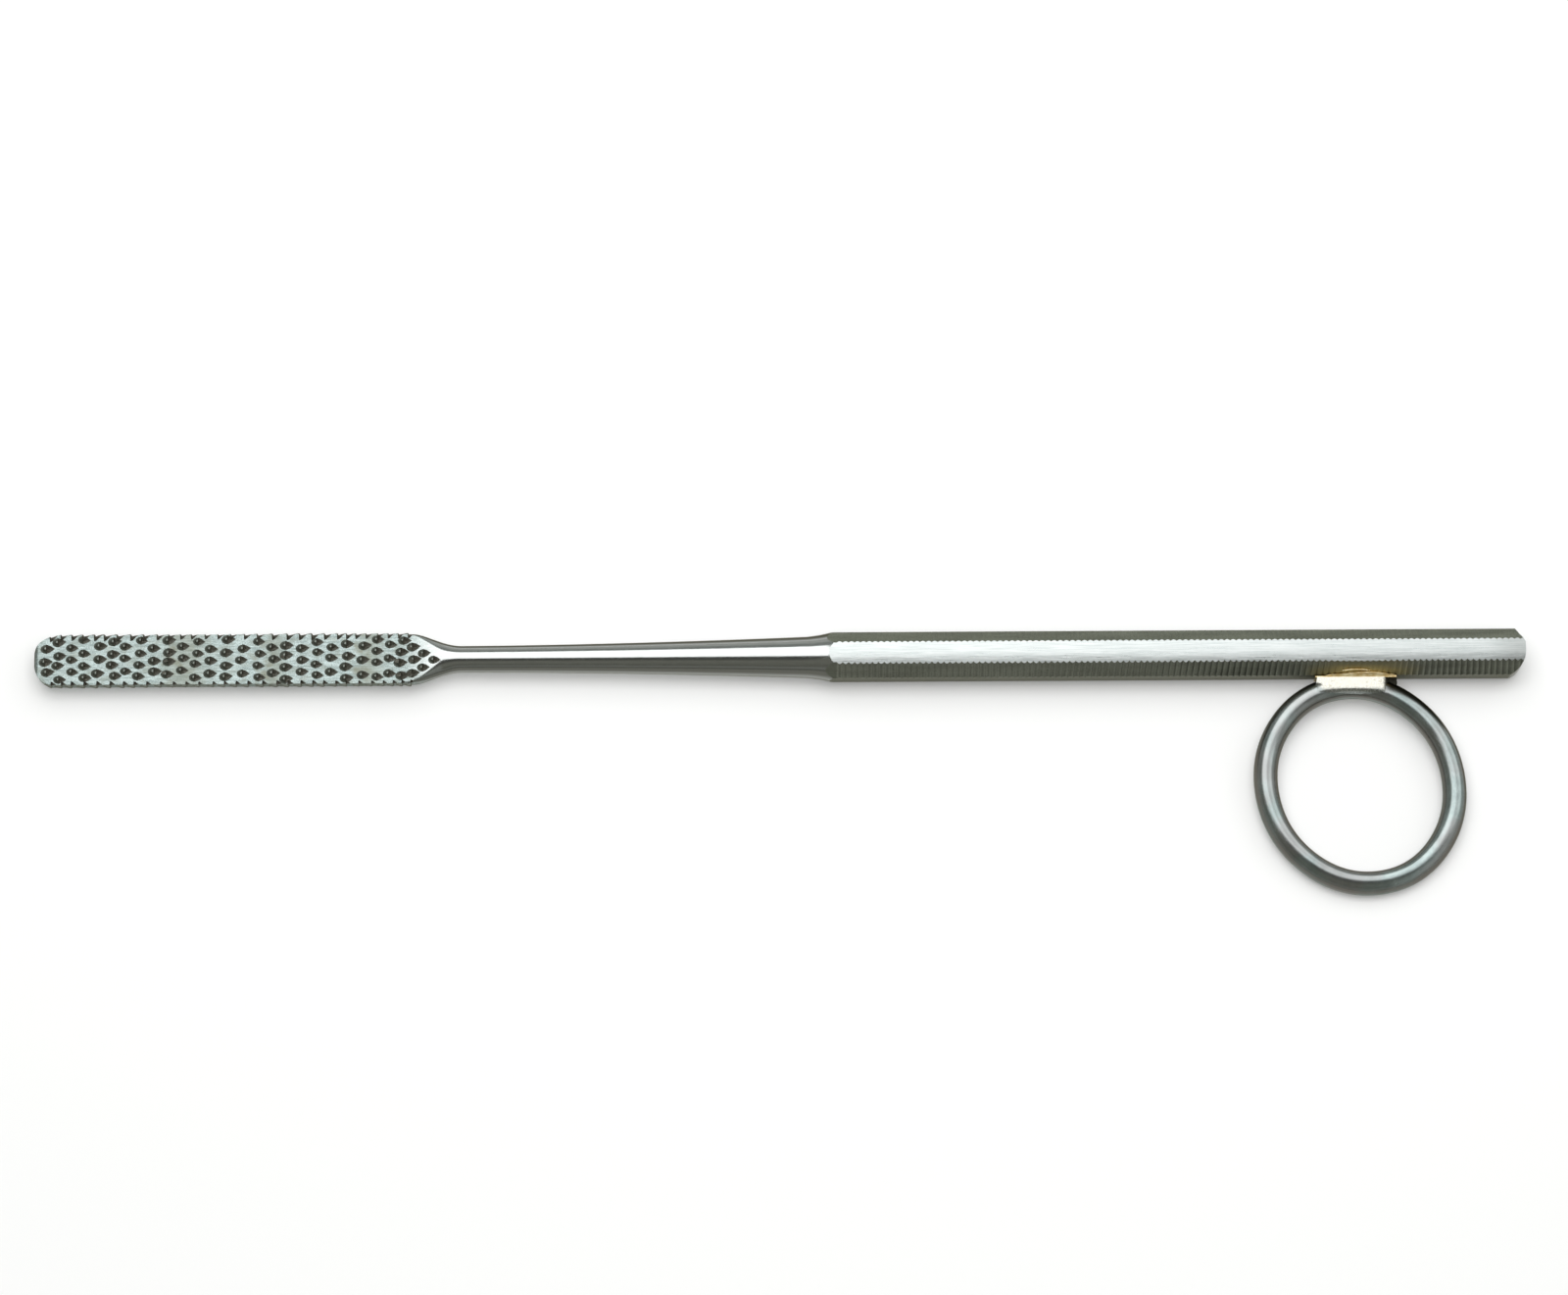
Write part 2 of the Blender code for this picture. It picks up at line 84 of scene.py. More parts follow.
class Graph:
    def __init__(self, tree):
        self.tree = tree

    def node(self, kind, settings=None, inputs=None, output=0):
        made = self.tree.nodes.new("ShaderNode" + kind)
        for name, value in (settings or {}).items():
            setattr(made, name, value)
        for name, value in (inputs or {}).items():
            if isinstance(value, Wire):
                self.tree.links.new(value.socket, made.inputs[name])
            else:
                made.inputs[name].default_value = value
        return Wire(self, made.outputs[output])

    def grain(self, place, scale, detail=2.0, roughness=0.55):
        inputs = {"Vector": place, "Scale": scale, "Detail": detail, "Roughness": roughness}
        return self.node("TexNoise", None, inputs)

    def stretch(self, place, factors):
        return self.node("VectorMath", {"operation": "MULTIPLY"}, {0: place, 1: factors})

    def rise(self, value, low, high, start=0.0, end=1.0):
        inputs = {"Value": value, "From Min": low, "From Max": high, "To Min": start, "To Max": end}
        return self.node("MapRange", {"interpolation_type": "SMOOTHSTEP"}, inputs)

    def size(self, value):
        return self.node("Math", {"operation": "ABSOLUTE"}, {0: value})

    def axes(self, vector):
        parted = self.node("SeparateXYZ", None, {"Vector": vector})
        return [Wire(self, socket) for socket in parted.socket.node.outputs]

    def blend(self, factor, first, second):
        return self.node("Mix", {"data_type": "RGBA"}, {0: factor, 6: first, 7: second}, output=2)


def rgb(*colour):
    return (*colour, 1.0)


def metalFinish(name):
    # A metal whose pattern is read in millimetres along the file's own axes.
    material = bpy.data.materials.new(name)
    material.use_nodes = True
    graph = Graph(material.node_tree)
    shader = material.node_tree.nodes["Principled BSDF"]
    shader.inputs["Metallic"].default_value = 1.0
    shader.inputs["Specular Tint"].default_value = rgb(0.45, 0.44, 0.39)      # steel dulls toward its rim
    coordinates = graph.node("TexCoord", output=3)
    place = graph.node("Mapping", {"vector_type": "TEXTURE"}, {
        "Vector": coordinates, "Location": restPlace, "Rotation": (rest["roll"], 0, 0),
        "Scale": (metresPerUnit,) * 3})
    return material, graph, shader, place


def paintedFlankShade(graph):
    # painted shade: 1 on the shoulders, less where the surface stands quite upright, 0 where it faces up or
    # down, so the steel is darkened by which way it faces
    facing = graph.size(graph.axes(graph.node("NewGeometry", output=1))[2])
    return graph.rise(facing, 0.60, 0.90, 1.0, 0.0) * graph.rise(facing, 0.05, 0.45, 0.3, 1.0)


def feed(graph, shader, colour, roughness, height, depth):
    links = graph.tree.links
    links.new(colour.socket, shader.inputs["Base Color"])
    links.new(roughness.socket, shader.inputs["Roughness"])
    bump = graph.node("Bump", None, {"Height": height, "Distance": depth, "Strength": 1.0})
    links.new(bump.socket, shader.inputs["Normal"])


# Shapes


def smoothstep(value):
    t = min(max(value, 0.0), 1.0)
    return t * t * (3 - 2 * t)


def newPiece(bm, name, materials=()):
    bmesh.ops.recalc_face_normals(bm, faces=bm.faces)
    mesh = bpy.data.meshes.new(name)
    bm.to_mesh(mesh)
    bm.free()
    for material in materials:
        mesh.materials.append(material)
    piece = bpy.data.objects.new(name, mesh)
    bpy.context.scene.collection.objects.link(piece)
    return piece


def rolledSheet(rows, slots=None):
    # A grid wrapped round its cross-sections, its seam welded and its ends closed.
    count = len(rows[0])
    bm = bmesh.new()
    bmesh.ops.create_grid(bm, x_segments=count, y_segments=len(rows) - 1, size=1)
    if slots:
        for index, face in enumerate(bm.faces):
            face.material_index = slots[index % count]
    for index, vert in enumerate(bm.verts):
        row, column = divmod(index, count + 1)
        vert.co = rows[row][column % count]
    bmesh.ops.remove_doubles(bm, verts=bm.verts, dist=1e-5)
    bmesh.ops.holes_fill(bm, edges=bm.edges, sides=0)
    bmesh.ops.recalc_face_normals(bm, faces=bm.faces)
    return bm


def combine(piece, tool, operation, crowded=False):
    # Join, cut or trim one piece with another, then clear the tool away.
    modifier = piece.modifiers.new(operation, "BOOLEAN")
    modifier.operation = operation
    modifier.solver = "EXACT"
    modifier.material_mode = "TRANSFER"
    modifier.use_self = crowded
    modifier.object = tool
    bpy.context.view_layer.update()
    shaped = bpy.data.meshes.new_from_object(piece.evaluated_get(bpy.context.evaluated_depsgraph_get()))
    piece.modifiers.clear()
    piece.data = shaped
    bpy.data.objects.remove(tool, do_unlink=True)


def finishPiece(piece, name, node, crease):
    # Smooth shading with creases by angle and where two finishes meet, then laid down in the frame.
    bm = bmesh.new()
    bm.from_mesh(piece.data)
    bmesh.ops.remove_doubles(bm, verts=bm.verts, dist=2e-5)
    bmesh.ops.dissolve_degenerate(bm, edges=bm.edges, dist=1e-5)
    for face in bm.faces:
        face.smooth = True
    for edge in bm.edges:
        faces = edge.link_faces
        same = len(faces) == 2 and faces[0].material_index == faces[1].material_index
        edge.smooth = same and edge.calc_face_angle(0.0) < crease
    bm.to_mesh(piece.data)
    bm.free()
    piece.data.transform(layDown)
    piece.name = name
    piece.data.name = name
    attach(piece, "root")
    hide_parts(node)
    print(name, len(piece.data.vertices), "vertices")


# Metals

stains = ((20.8, 5.2), (33.5, 2.6), (47.0, 3.2))      # distance from the tip and reach, mm

def bladeSteel():
    material, graph, shader, place = metalFinish("bladeSteel")
    x = graph.axes(place)[0]
    brushing = graph.grain(graph.stretch(place, (0.45, 5.0, 5.0)), 1.0, 4.0, 0.7)
    fine = graph.grain(place, 5.5, 4.0, 0.75)
    cloud = graph.grain(graph.stretch(place, (0.6, 0.9, 0.9)), 1.0, 3.0)
    etched = graph.rise(x, 51.0, 58.0, 1.0, 0.0)      # the blade is matt, the shank bright
    pattern = graph.rise(brushing * 0.45 + fine * 0.55, 0.40, 0.61)
    colour = graph.blend(pattern, rgb(0.255, 0.315, 0.305), rgb(0.60, 0.70, 0.69))
    # brownish stains left from sterilising
    stain = graph.rise(cloud, 0.46, 0.66) * 0.35
    for centre, reach in stains:
        away = graph.size(x - centre + (cloud - 0.5) * 6.0)
        stain = stain + graph.rise(away, 0.0, reach, 0.50, 0.0)
    stain = stain * graph.rise(fine, 0.25, 0.6, 0.35, 1.0) * etched
    colour = graph.blend(stain, colour, rgb(0.21, 0.205, 0.14))
    polished = graph.blend(graph.rise(brushing, 0.3, 0.7), rgb(0.54, 0.56, 0.55), rgb(0.61, 0.63, 0.625))
    colour = graph.blend(etched, polished, colour)
    # painted shade: the blade and shank are darkened on their flanks
    colour = graph.blend(paintedFlankShade(graph) * 0.92, colour, rgb(0.072, 0.072, 0.056))
    roughness = 0.12 + etched * (0.20 + 0.12 * fine) + 0.05 * brushing
    height = brushing * (0.2 + etched * 0.9) + fine * etched * 0.8
    feed(graph, shader, colour, roughness, height, 0.000012)
    return material


def toothSteelPaintedShade():
    material, graph, shader, place = metalFinish("toothSteelPaintedShade")
    fine = graph.grain(place, 7.0, 3.0, 0.6)
    # painted shade: the teeth get a far darker copy of the blade's steel, standing in for their shaded steep
    # sides
    colour = graph.blend(graph.rise(fine, 0.3, 0.7), rgb(0.13, 0.14, 0.12), rgb(0.25, 0.27, 0.245))
    feed(graph, shader, colour, 0.14 + 0.14 * fine, fine, 0.00001)
    return material


def pitSteelPaintedShade():
    material, graph, shader, place = metalFinish("pitSteelPaintedShade")
    fine = graph.grain(place, 6.0, 3.0, 0.7)
    # painted shade: the pits' faces get a dark copy of the blade's steel, for the shade inside them
    colour = graph.blend(graph.rise(fine, 0.35, 0.65), rgb(0.16, 0.155, 0.13), rgb(0.36, 0.35, 0.31))
    feed(graph, shader, colour, 0.38 + 0.2 * fine, fine, 0.00003)
    return material


def facetSteel():
    material, graph, shader, place = metalFinish("facetSteel")
    x, y = graph.axes(place)[:2]
    brushing = graph.grain(graph.stretch(place, (0.22, 6.0, 6.0)), 1.0, 4.0, 0.65)
    soft = graph.grain(graph.stretch(place, (0.3, 1.4, 1.4)), 1.0, 2.0)
    fine = graph.grain(place, 12.0, 2.0)
    colour = graph.blend(graph.rise(brushing, 0.3, 0.7), rgb(0.50, 0.54, 0.535), rgb(0.66, 0.69, 0.685))
    # darker over the handle's last few millimetres
    colour = graph.blend(graph.rise(x, 203.0, 209.0, 0.0, 0.4), colour, rgb(0.25, 0.26, 0.25))
    # painted shade on the upright plain sides, the near and far ones
    paintedSideShade = graph.rise(graph.size(y), 3.0, 3.3, 0.0, 0.75)
    colour = graph.blend(paintedSideShade, colour, rgb(0.13, 0.13, 0.10))
    # painted shade on the flanks
    colour = graph.blend(paintedFlankShade(graph) * 0.8, colour, rgb(0.13, 0.13, 0.105))
    roughness = 0.21 + 0.10 * brushing + 0.06 * soft
    feed(graph, shader, colour, roughness, brushing * 0.8 + soft * 1.6 + fine * 0.25, 0.000012)
    return material


def serratedSteel():
    material, graph, shader, place = metalFinish("serratedSteel")
    x, y = graph.axes(place)[:2]
    fine = graph.grain(place, 5.0, 3.0, 0.65)
    cloud = graph.grain(graph.stretch(place, (0.12, 0.7, 0.7)), 1.0, 2.0)
    pattern = graph.rise(fine * 0.6 + cloud * 0.4, 0.35, 0.65)
    # painted shade: the serrated sides get a dark copy of the handle's steel
    colour = graph.blend(pattern, rgb(0.135, 0.145, 0.118), rgb(0.21, 0.225, 0.185))
    # painted shade, darker still on the near side
    colour = graph.blend(graph.rise(y, -0.5, 0.5, 0.45, 0.0), colour, rgb(0.085, 0.085, 0.066))
    # golden heat tint where the ring was brazed on
    away = graph.size(x - 186.6)
    warm = graph.rise(away + cloud * 4.0 - 2.0, 3.2, 9.0, 1.0, 0.0) * graph.rise(y, -3.2, -0.8, 1.0, 0.0)
    colour = graph.blend(warm * 0.85, colour, rgb(0.28, 0.225, 0.085))
    gold = graph.rise(away + cloud * 3.0 - 1.5, 1.5, 5.5, 1.0, 0.0) * graph.rise(y, -2.9, -1.9, 1.0, 0.0)
    gold = gold * graph.rise(fine, 0.3, 0.6, 0.5, 0.9)
    colour = graph.blend(gold, colour, rgb(0.52, 0.40, 0.17))
    feed(graph, shader, colour, 0.24 + 0.16 * fine, fine, 0.000015)
    return material


def ringSteel():
    material, graph, shader, place = metalFinish("ringSteel")
    x, y = graph.axes(place)[:2]
    fine = graph.grain(place, 8.0, 3.0, 0.6)
    cloud = graph.grain(place, 0.45, 2.0)
    pattern = graph.rise(cloud * 0.6 + fine * 0.4, 0.35, 0.65)
    colour = graph.blend(pattern, rgb(0.335, 0.395, 0.39), rgb(0.445, 0.515, 0.51))
    tint = graph.rise(graph.grain(place, 0.16, 1.0), 0.40, 0.60)
    colour = graph.blend(tint * 0.5, colour, rgb(0.42, 0.385, 0.385))
    # painted shade on the wire's flanks
    colour = graph.blend(paintedFlankShade(graph) * 0.85, colour, rgb(0.092, 0.082, 0.066))
    # painted shade: a dark band on the outside of the wire, past the foot's rough end
    across = graph.node("CombineXYZ", None, {0: x - ringX, 1: y + ring["fromAxis"], 2: 0.0})
    radius = graph.node("VectorMath", {"operation": "LENGTH"}, {0: across}, output=1)
    scale = graph.rise(radius + fine * 0.5, 13.85, 14.35) * graph.rise(x, ringX + 3.0, ringX + 4.5)
    scale = scale * graph.rise(x, ringX + 9.0, ringX + 12.5, 1.0, 0.0) * graph.rise(y, -14.0, -11.0)
    colour = graph.blend(scale * 0.9, colour, rgb(0.035, 0.032, 0.025))
    feed(graph, shader, colour, 0.17 + 0.10 * fine + 0.05 * cloud, fine, 0.000006)
    return material


def footSteel():
    material, graph, shader, place = metalFinish("footSteel")
    x, y = graph.axes(place)[:2]
    fine = graph.grain(place, 5.0, 4.0, 0.7)
    speck = graph.rise(graph.grain(place, 3.2, 2.0), 0.60, 0.68)
    # partly painted highlight: the foot gets a far lighter copy of the ring's steel for its flat top; its
    # cream is the heat tint of brazing
    colour = graph.blend(graph.rise(fine, 0.3, 0.7), rgb(0.74, 0.725, 0.64), rgb(0.84, 0.83, 0.76))
    burnt = graph.rise(x + fine * 0.8, 190.0, 190.7)
    colour = graph.blend(speck * 0.4, colour, rgb(0.46, 0.40, 0.28))
    # the foot's painted highlight gives way to the ring's grey steel toward the wire
    paintedHighlightEdge = y + fine * 0.8 + graph.rise(x, ringX - 6.5, ringX - 4.6, -1.2, 0.0)
    colour = graph.blend(graph.rise(paintedHighlightEdge, -5.5, -4.4), rgb(0.38, 0.41, 0.40), colour)
    colour = graph.blend(burnt, colour, rgb(0.055, 0.053, 0.042))
    feed(graph, shader, colour, 0.20 + 0.12 * fine + burnt * 0.3, fine + burnt * fine * 5.0, 0.00002)
    return material


def brassBraze():
    material, graph, shader, place = metalFinish("brassBraze")
    fine = graph.grain(place, 6.0, 3.0)
    cloud = graph.grain(place, 1.1, 2.0)
    colour = graph.blend(graph.rise(cloud, 0.35, 0.7), rgb(0.60, 0.43, 0.18), rgb(0.90, 0.78, 0.50))
    shader.inputs["Metallic"].default_value = 0.6       # a little flux glazes it
    feed(graph, shader, colour, 0.14 + 0.14 * fine, fine, 0.000008)
    return material


# File body: blade, shank, cove and handle

blade = {
    "width": 7.1,
    "thickness": 2.15,
    "length": 53.6,
    "farCorner": (3.7, 2.75),       # tip corner, along and across
    "nearCorner": (2.7, 3.05),
    "tipThickness": 1.2,
    "tipRound": 0.6,
    "flare": 6.6,
    "flareRounding": 1.5,
    "runoutStart": 49.6,
    "runoutEnd": 57.5,
    "runoutSharpness": 3,
    "arcSteps": 12,
    "tipSteps": 22,
    "runoutSteps": 40,
}
shank = {
    "neck": 3.75,
    "end": 5.87,
    "length": 49.4,
    "taper": 1.7,
    "cove": 3.6,
    "coveReach": 4.7,
    "coveCurve": 1.7,
    "short": 1.5,                   # the even part stops this far short of the cove
    "steps": 26,
    "coveSteps": 18,
}
handle = {
    "length": 96.5,
    "flats": 6.85,
    "side": 3.27,
    "crown": 0.17,                  # how far the plain sides fall away at their edges
    "pitch": 0.835,
    "depth": 0.21,
    "farShare": 0.65,               # the grooves are shallower on the far sides
    "start": 0.08,
    "grooveCurve": 0.9,
    "lean": 0.15,                   # the grooves' slant along the middle of the handle
    "leanFrom": (138, 10),          # where it sets in, and over what length
    "leanUntil": (200, 8),
    "filled": (0.6, 4.2),           # brazing metal has run into the grooves by the ring: share and reach
    "formScale": 4.0,               # the milled form stands clear of blade and shank
    "formStart": -7.0,
    "formStep": 3,
    "farEnd": 1.2,                  # half-widths of the end face, and how its two corners are taken off
    "farChamfer": 1.7,
    "nearEnd": 0.25,
    "nearRound": 5.0,
    "fullness": 2.2,
    "endSteps": 24,
    "endCorner": 0.2,
    "edgeRound": 0.4,
    "edgeDrop": 0.4,
    "clearance": 0.12,
}
halfStep = math.pi / (4 * blade["arcSteps"] + 2)
halfWidth = blade["width"] / 2
halfFlats = handle["flats"] / 2
halfSide = handle["side"] / 2
neckRadius = shank["neck"] / 2
shankRadius = shank["end"] / 2
cornerRadius = math.hypot(halfFlats, halfSide)
neckX = blade["length"] + blade["flare"]
coveX = neckX + shank["length"]
handleX = coveX + shank["cove"]
ringX = rest["length"] - 23.3


def cornerInset(x, corner):
    along, across = corner
    return across * (1 - math.sqrt(1 - (1 - x / along) ** 2)) if x < along else 0.0


def bodyRadius(x):
    if x < blade["length"]:
        return halfWidth
    if x < neckX:
        t = (x - blade["length"]) / blade["flare"]
        return halfWidth - (halfWidth - neckRadius) * math.sin(math.pi * t / 2) ** blade["flareRounding"]
    taper = min((x - neckX) / shank["length"], 1.0) ** shank["taper"]
    rise = max(x - handleX + shank["coveReach"], 0.0) / shank["coveReach"]
    cove = (cornerRadius - shankRadius) * rise ** shank["coveCurve"]
    return neckRadius + (shankRadius - neckRadius) * taper + cove


def flatHeight(x):
    half = blade["thickness"] / 2
    if x < blade["runoutStart"]:
        edge = 1 - min(x / blade["tipRound"], 1.0)
        return half - (half - blade["tipThickness"] / 2) * edge ** 2
    if x < neckX:
        t = smoothstep((x - blade["runoutStart"]) / (neckX - blade["runoutStart"]))
        return half + (neckRadius * math.cos(halfStep) - half) * t
    return bodyRadius(x) * math.cos(halfStep)


def flatWidth(x, side):
    narrow = bodyRadius(x) * math.sin(halfStep)
    if x < blade["runoutStart"]:
        return side
    if x >= blade["runoutEnd"]:
        return narrow
    t = (x - blade["runoutStart"]) / (blade["runoutEnd"] - blade["runoutStart"])
    return narrow + (side - narrow) * (1 - t ** blade["runoutSharpness"])


def halfSection(side, flat, height):
    low = math.sin(halfStep)
    above = []
    for step in range(blade["arcSteps"]):
        angle = halfStep + (math.pi / 2 - halfStep) * step / blade["arcSteps"]
        across = flat + (side - flat) * (math.sin(angle) - low) / (1 - low)
        above.append((across, height * math.cos(angle) / math.cos(halfStep)))
    return above + [(side, 0.0)] + [(y, -z) for y, z in reversed(above)]


def bodySection(x, far, near, height):
    farHalf = halfSection(far, flatWidth(x, far), height)
    nearHalf = halfSection(near, flatWidth(x, near), height)
    points = farHalf + [(-y, -z) for y, z in nearHalf]
    return [Vector((x, y, z)) for y, z in points]


def stockRows():
    tipLength, tipSteps = blade["farCorner"][0], blade["tipSteps"]
    runout, runoutSteps = neckX - blade["runoutStart"], blade["runoutSteps"]
    even, evenSteps = shank["length"] - shank["short"], shank["steps"]
    places = [tipLength * (step / tipSteps) ** 2 for step in range(tipSteps + 1)]
    places += [blade["runoutStart"] + runout * step / runoutSteps for step in range(runoutSteps)]
    places += [neckX + even * step / evenSteps for step in range(evenSteps)]
    rows = []
    for x in places:
        radius = bodyRadius(x)
        far = radius - cornerInset(x, blade["farCorner"])
        near = radius - cornerInset(x, blade["nearCorner"])
        rows.append(bodySection(x, far, near, flatHeight(x)))
    stockRadius = cornerRadius + handle["clearance"]
    overrun = ((stockRadius - shankRadius) / (cornerRadius - shankRadius)) ** (1 / shank["coveCurve"])
    for step in range(shank["coveSteps"] + 1):
        x = handleX - shank["coveReach"] * (1 - overrun * step / shank["coveSteps"])
        rows.append(bodySection(x, bodyRadius(x), bodyRadius(x), bodyRadius(x) * math.cos(halfStep)))
    for step in range(handle["endSteps"] + 1):
        away = handle["nearRound"] * (1 - step / handle["endSteps"]) ** 2
        x = rest["length"] - away
        far = handle["farEnd"] + (stockRadius - handle["farEnd"]) * away / handle["farChamfer"]
        far = min(stockRadius, far)
        curve = (1 - (1 - away / handle["nearRound"]) ** handle["fullness"]) ** (1 / handle["fullness"])
        near = handle["nearEnd"] + (stockRadius - handle["nearEnd"]) * curve
        eased = 1 - min(away / handle["edgeRound"], 1.0)
        height = stockRadius - handle["edgeDrop"] * (1 - math.sqrt(1 - eased ** 2))
        farHalf = halfSection(far, far - handle["endCorner"], height)
        nearHalf = halfSection(near, near - handle["endCorner"], height)
        rows.append([Vector((x, y, z)) for y, z in farHalf + [(-y, -z) for y, z in nearHalf]])
    return rows


def makeStock():
    bm = rolledSheet(stockRows())
    bmesh.ops.dissolve_limit(bm, angle_limit=0.001, verts=bm.verts, edges=bm.edges)
    return newPiece(bm, "fileStock", [bladeSteel()])


def handleRow(x, farDepth, nearDepth, lean, scale=1.0):
    # One octagonal section: four crowned plain sides, with straight serrated sides between them.
    corners = []
    for turn in range(4):
        for t in (-1, -0.5, 0, 0.5, 1):
            farEnd = (t > 0, True, t < 0, False)[turn]
            cut = (farDepth if farEnd else nearDepth) * math.sqrt(2)
            along = t * (halfSide - cut)
            out = halfFlats - handle["crown"] * (along / halfSide) ** 2
            y, z = ((along, out), (out, -along), (-along, -out), (-out, along))[turn]
            sign = 1 if turn % 2 == 0 else -1
            corners.append(Vector((x + lean * sign, y * scale, z * scale)))
    return corners


def grooveDepth(u):
    return handle["depth"] * (1 - math.sin(math.pi * u)) ** handle["grooveCurve"]


def makeHandleForm():
    middle = neckX + shank["length"] / 2
    rows = [handleRow(x, 0, 0, 0, handle["formScale"]) for x in (handle["formStart"], middle)]
    rows.append(handleRow(middle + handle["formStep"], 0, 0, 0))
    first = handleX + handle["start"] - 0.4 * handle["pitch"]
    count = int(handle["length"] / handle["pitch"]) + 2
    leanFrom, leanRise = handle["leanFrom"]
    leanUntil, leanFall = handle["leanUntil"]
    share, reach = handle["filled"]
    for groove in range(count):
        for u in (0.0, 0.09, 0.2, 0.34, 0.5, 0.66, 0.8, 0.91):
            x = first + (groove + u) * handle["pitch"]
            filled = share * math.exp(-((x - ringX) / reach) ** 2)
            lean = handle["lean"] * smoothstep((x - leanFrom) / leanRise)
            lean *= smoothstep((leanUntil - x) / leanFall)
            depth = grooveDepth(u)
            rows.append(handleRow(x, depth * handle["farShare"], depth * (1 - filled), lean))
    rows.append(handleRow(first + count * handle["pitch"], 0, 0, 0))
    slots = ([0] * 4 + [1]) * 4
    return newPiece(rolledSheet(rows, slots=slots), "handleForm", [facetSteel(), serratedSteel()])


# Rasp teeth, placed as they were punched: distance from the tip and from the centreline, mm
teeth = {
    "width": 1.20,
    "back": 0.78,
    "front": 0.46,
    "height": 0.34,
    "sunk": 0.2,
    "fullness": 1.05,
    "crestShift": -0.10,
    "domeTiers": ((0.33, 0.50), (0.31, 0.34)),      # each tier's inset and rise
    "domeTop": 0.16,
    "pitLength": 1.06,
    "pitDepth": 0.36,
    "pitWidth": 1.14,
    "pitLean": 0.05,
    "pitWaist": (0.42, 0.74),        # where the leaf shape narrows, along and across
    "pitClear": 0.5,                 # how far the cutting points reach above the face
    "edgeBack": 1.0,
    "edgeFront": 0.22,
    "edgeHeight": 0.27,
    "edgeSpan": 1.9,
    "edgeSunk": 0.5,
    "cornerLength": (1.10, 0.80),     # cuts through the far and near edges' corners
    "cornerDepth": (1.05, 0.60),
    "cornerHalf": (1.30, 0.72),
    "cornerLean": 0.12,
    "sizeScatter": 0.07,
    "turnScatter": 0.10,
    "edgeScatter": 0.12,
    "places": (
        (1.75, 1.56), (1.51, -0.32), (1.80, -1.78), (3.37, 2.50), (3.50, 0.53), (3.23, -0.82),
        (3.52, -2.83), (5.23, 1.71), (5.20, 0.00), (5.30, -1.73), (6.93, 2.85), (6.98, 0.91),
        (6.98, -0.90), (7.08, -2.58), (9.23, 1.96), (9.18, 0.06), (8.87, -1.97), (11.21, 2.58),
        (11.06, 0.78), (10.88, -0.78), (11.34, -2.32), (12.80, 1.89), (12.74, 0.19), (12.85, -1.66),
        (15.05, 2.73), (14.92, 0.89), (14.74, -0.79), (14.59, -2.39), (16.74, 1.62), (16.83, -0.21),
        (16.89, -1.73), (18.86, 2.74), (18.96, 0.99), (18.89, -0.32), (18.66, -2.12), (20.86, 1.87),
        (20.98, 0.19), (20.75, -1.56), (23.09, 2.54), (22.99, 0.84), (22.63, -0.63), (22.61, -2.63),
        (24.81, 1.47), (24.77, -0.22), (24.67, -2.06), (27.19, 2.81), (26.99, 0.92), (26.99, -0.95),
        (26.89, -2.52), (29.42, 1.49), (29.04, -0.15), (29.32, -2.08), (31.52, 2.50), (31.76, 0.76),
        (31.47, -0.93), (31.62, -2.62), (33.42, 1.65), (33.76, -0.04), (33.57, -2.03), (35.42, 1.91),
        (35.40, 0.51), (35.36, -1.20), (35.38, -2.91), (37.63, 1.49), (37.70, -0.18), (37.61, -1.86),
        (39.76, 2.38), (39.86, 0.95), (39.64, -0.80), (39.80, -2.34), (41.89, 1.62), (41.75, 0.14),
        (41.72, -1.91), (43.97, 2.09), (44.15, 0.35), (43.80, -1.17), (43.90, -2.83), (46.44, 1.81),
        (46.17, -0.21), (46.20, -2.36), (48.29, 2.70), (48.22, 1.06), (48.19, -0.56), (48.22, -2.62),
        (50.09, 1.99), (49.95, 0.00), (49.91, -2.17), (52.00, 2.51), (51.64, 0.87), (51.42, -0.66),
        (51.71, -2.51), (53.27, 1.54), (53.46, -0.25), (53.24, -2.20), (54.81, 0.61), (54.69, -1.41),
        (56.25, -0.35)),
    "farEdge": (
        2.14, 3.66, 5.18, 6.7, 8.35, 9.73, 11.53, 13.46, 15.26, 17.19, 18.85, 20.5, 22.02, 23.96,
        25.75, 27.54, 29.48, 31.27, 33.41, 35.48, 37.21, 38.94, 40.74, 42.57, 43.84, 45.15, 46.6, 48.26,
        49.72, 51.15, 52.54),
    "nearEdge": (
        2.35, 3.8, 5.18, 6.97, 8.77, 10.63, 12.5, 14.01, 15.81, 17.74, 19.54, 21.33, 23.13, 25.13,
        26.72, 28.37, 30.03, 32.1, 34.1, 35.69, 37.49, 39.14, 40.66, 42.39, 43.84, 45.63, 47.43, 49.08,
        50.46, 51.71, 52.95),
}


def scatter(index, salt):
    return math.sin(12.9898 * index + 78.233 * salt + 1.7)


def newShape(bm, name):
    mesh = bpy.data.meshes.new(name)
    bm.to_mesh(mesh)
    bm.free()
    return mesh


def domeShape():
    # A low twelve-sided dome with its foot sunk below zero; radius 1, height 1.
    bm = bmesh.new()
    bmesh.ops.create_cone(bm, cap_ends=True, segments=12, radius1=1, radius2=1, depth=1)
    bmesh.ops.translate(bm, verts=bm.verts, vec=(0, 0, -0.5))
    top = max(bm.faces, key=lambda face: face.calc_center_median().z)
    for thickness, depth in teeth["domeTiers"]:
        bmesh.ops.inset_individual(bm, faces=[top], thickness=thickness, depth=depth)
    bmesh.ops.poke(bm, faces=[top], offset=teeth["domeTop"])
    return newShape(bm, "domeShape")


def pitShape():
    # A leaf-shaped point that goes down: its near face shears the dome, its tail runs out along the face.
    bm = bmesh.new()
    bmesh.ops.create_cone(bm, cap_ends=True, segments=5, radius1=0, radius2=1, depth=1,
                          matrix=Matrix.Rotation(-math.pi / 2, 4, "Z"))
    return newShape(bm, "pitShape")


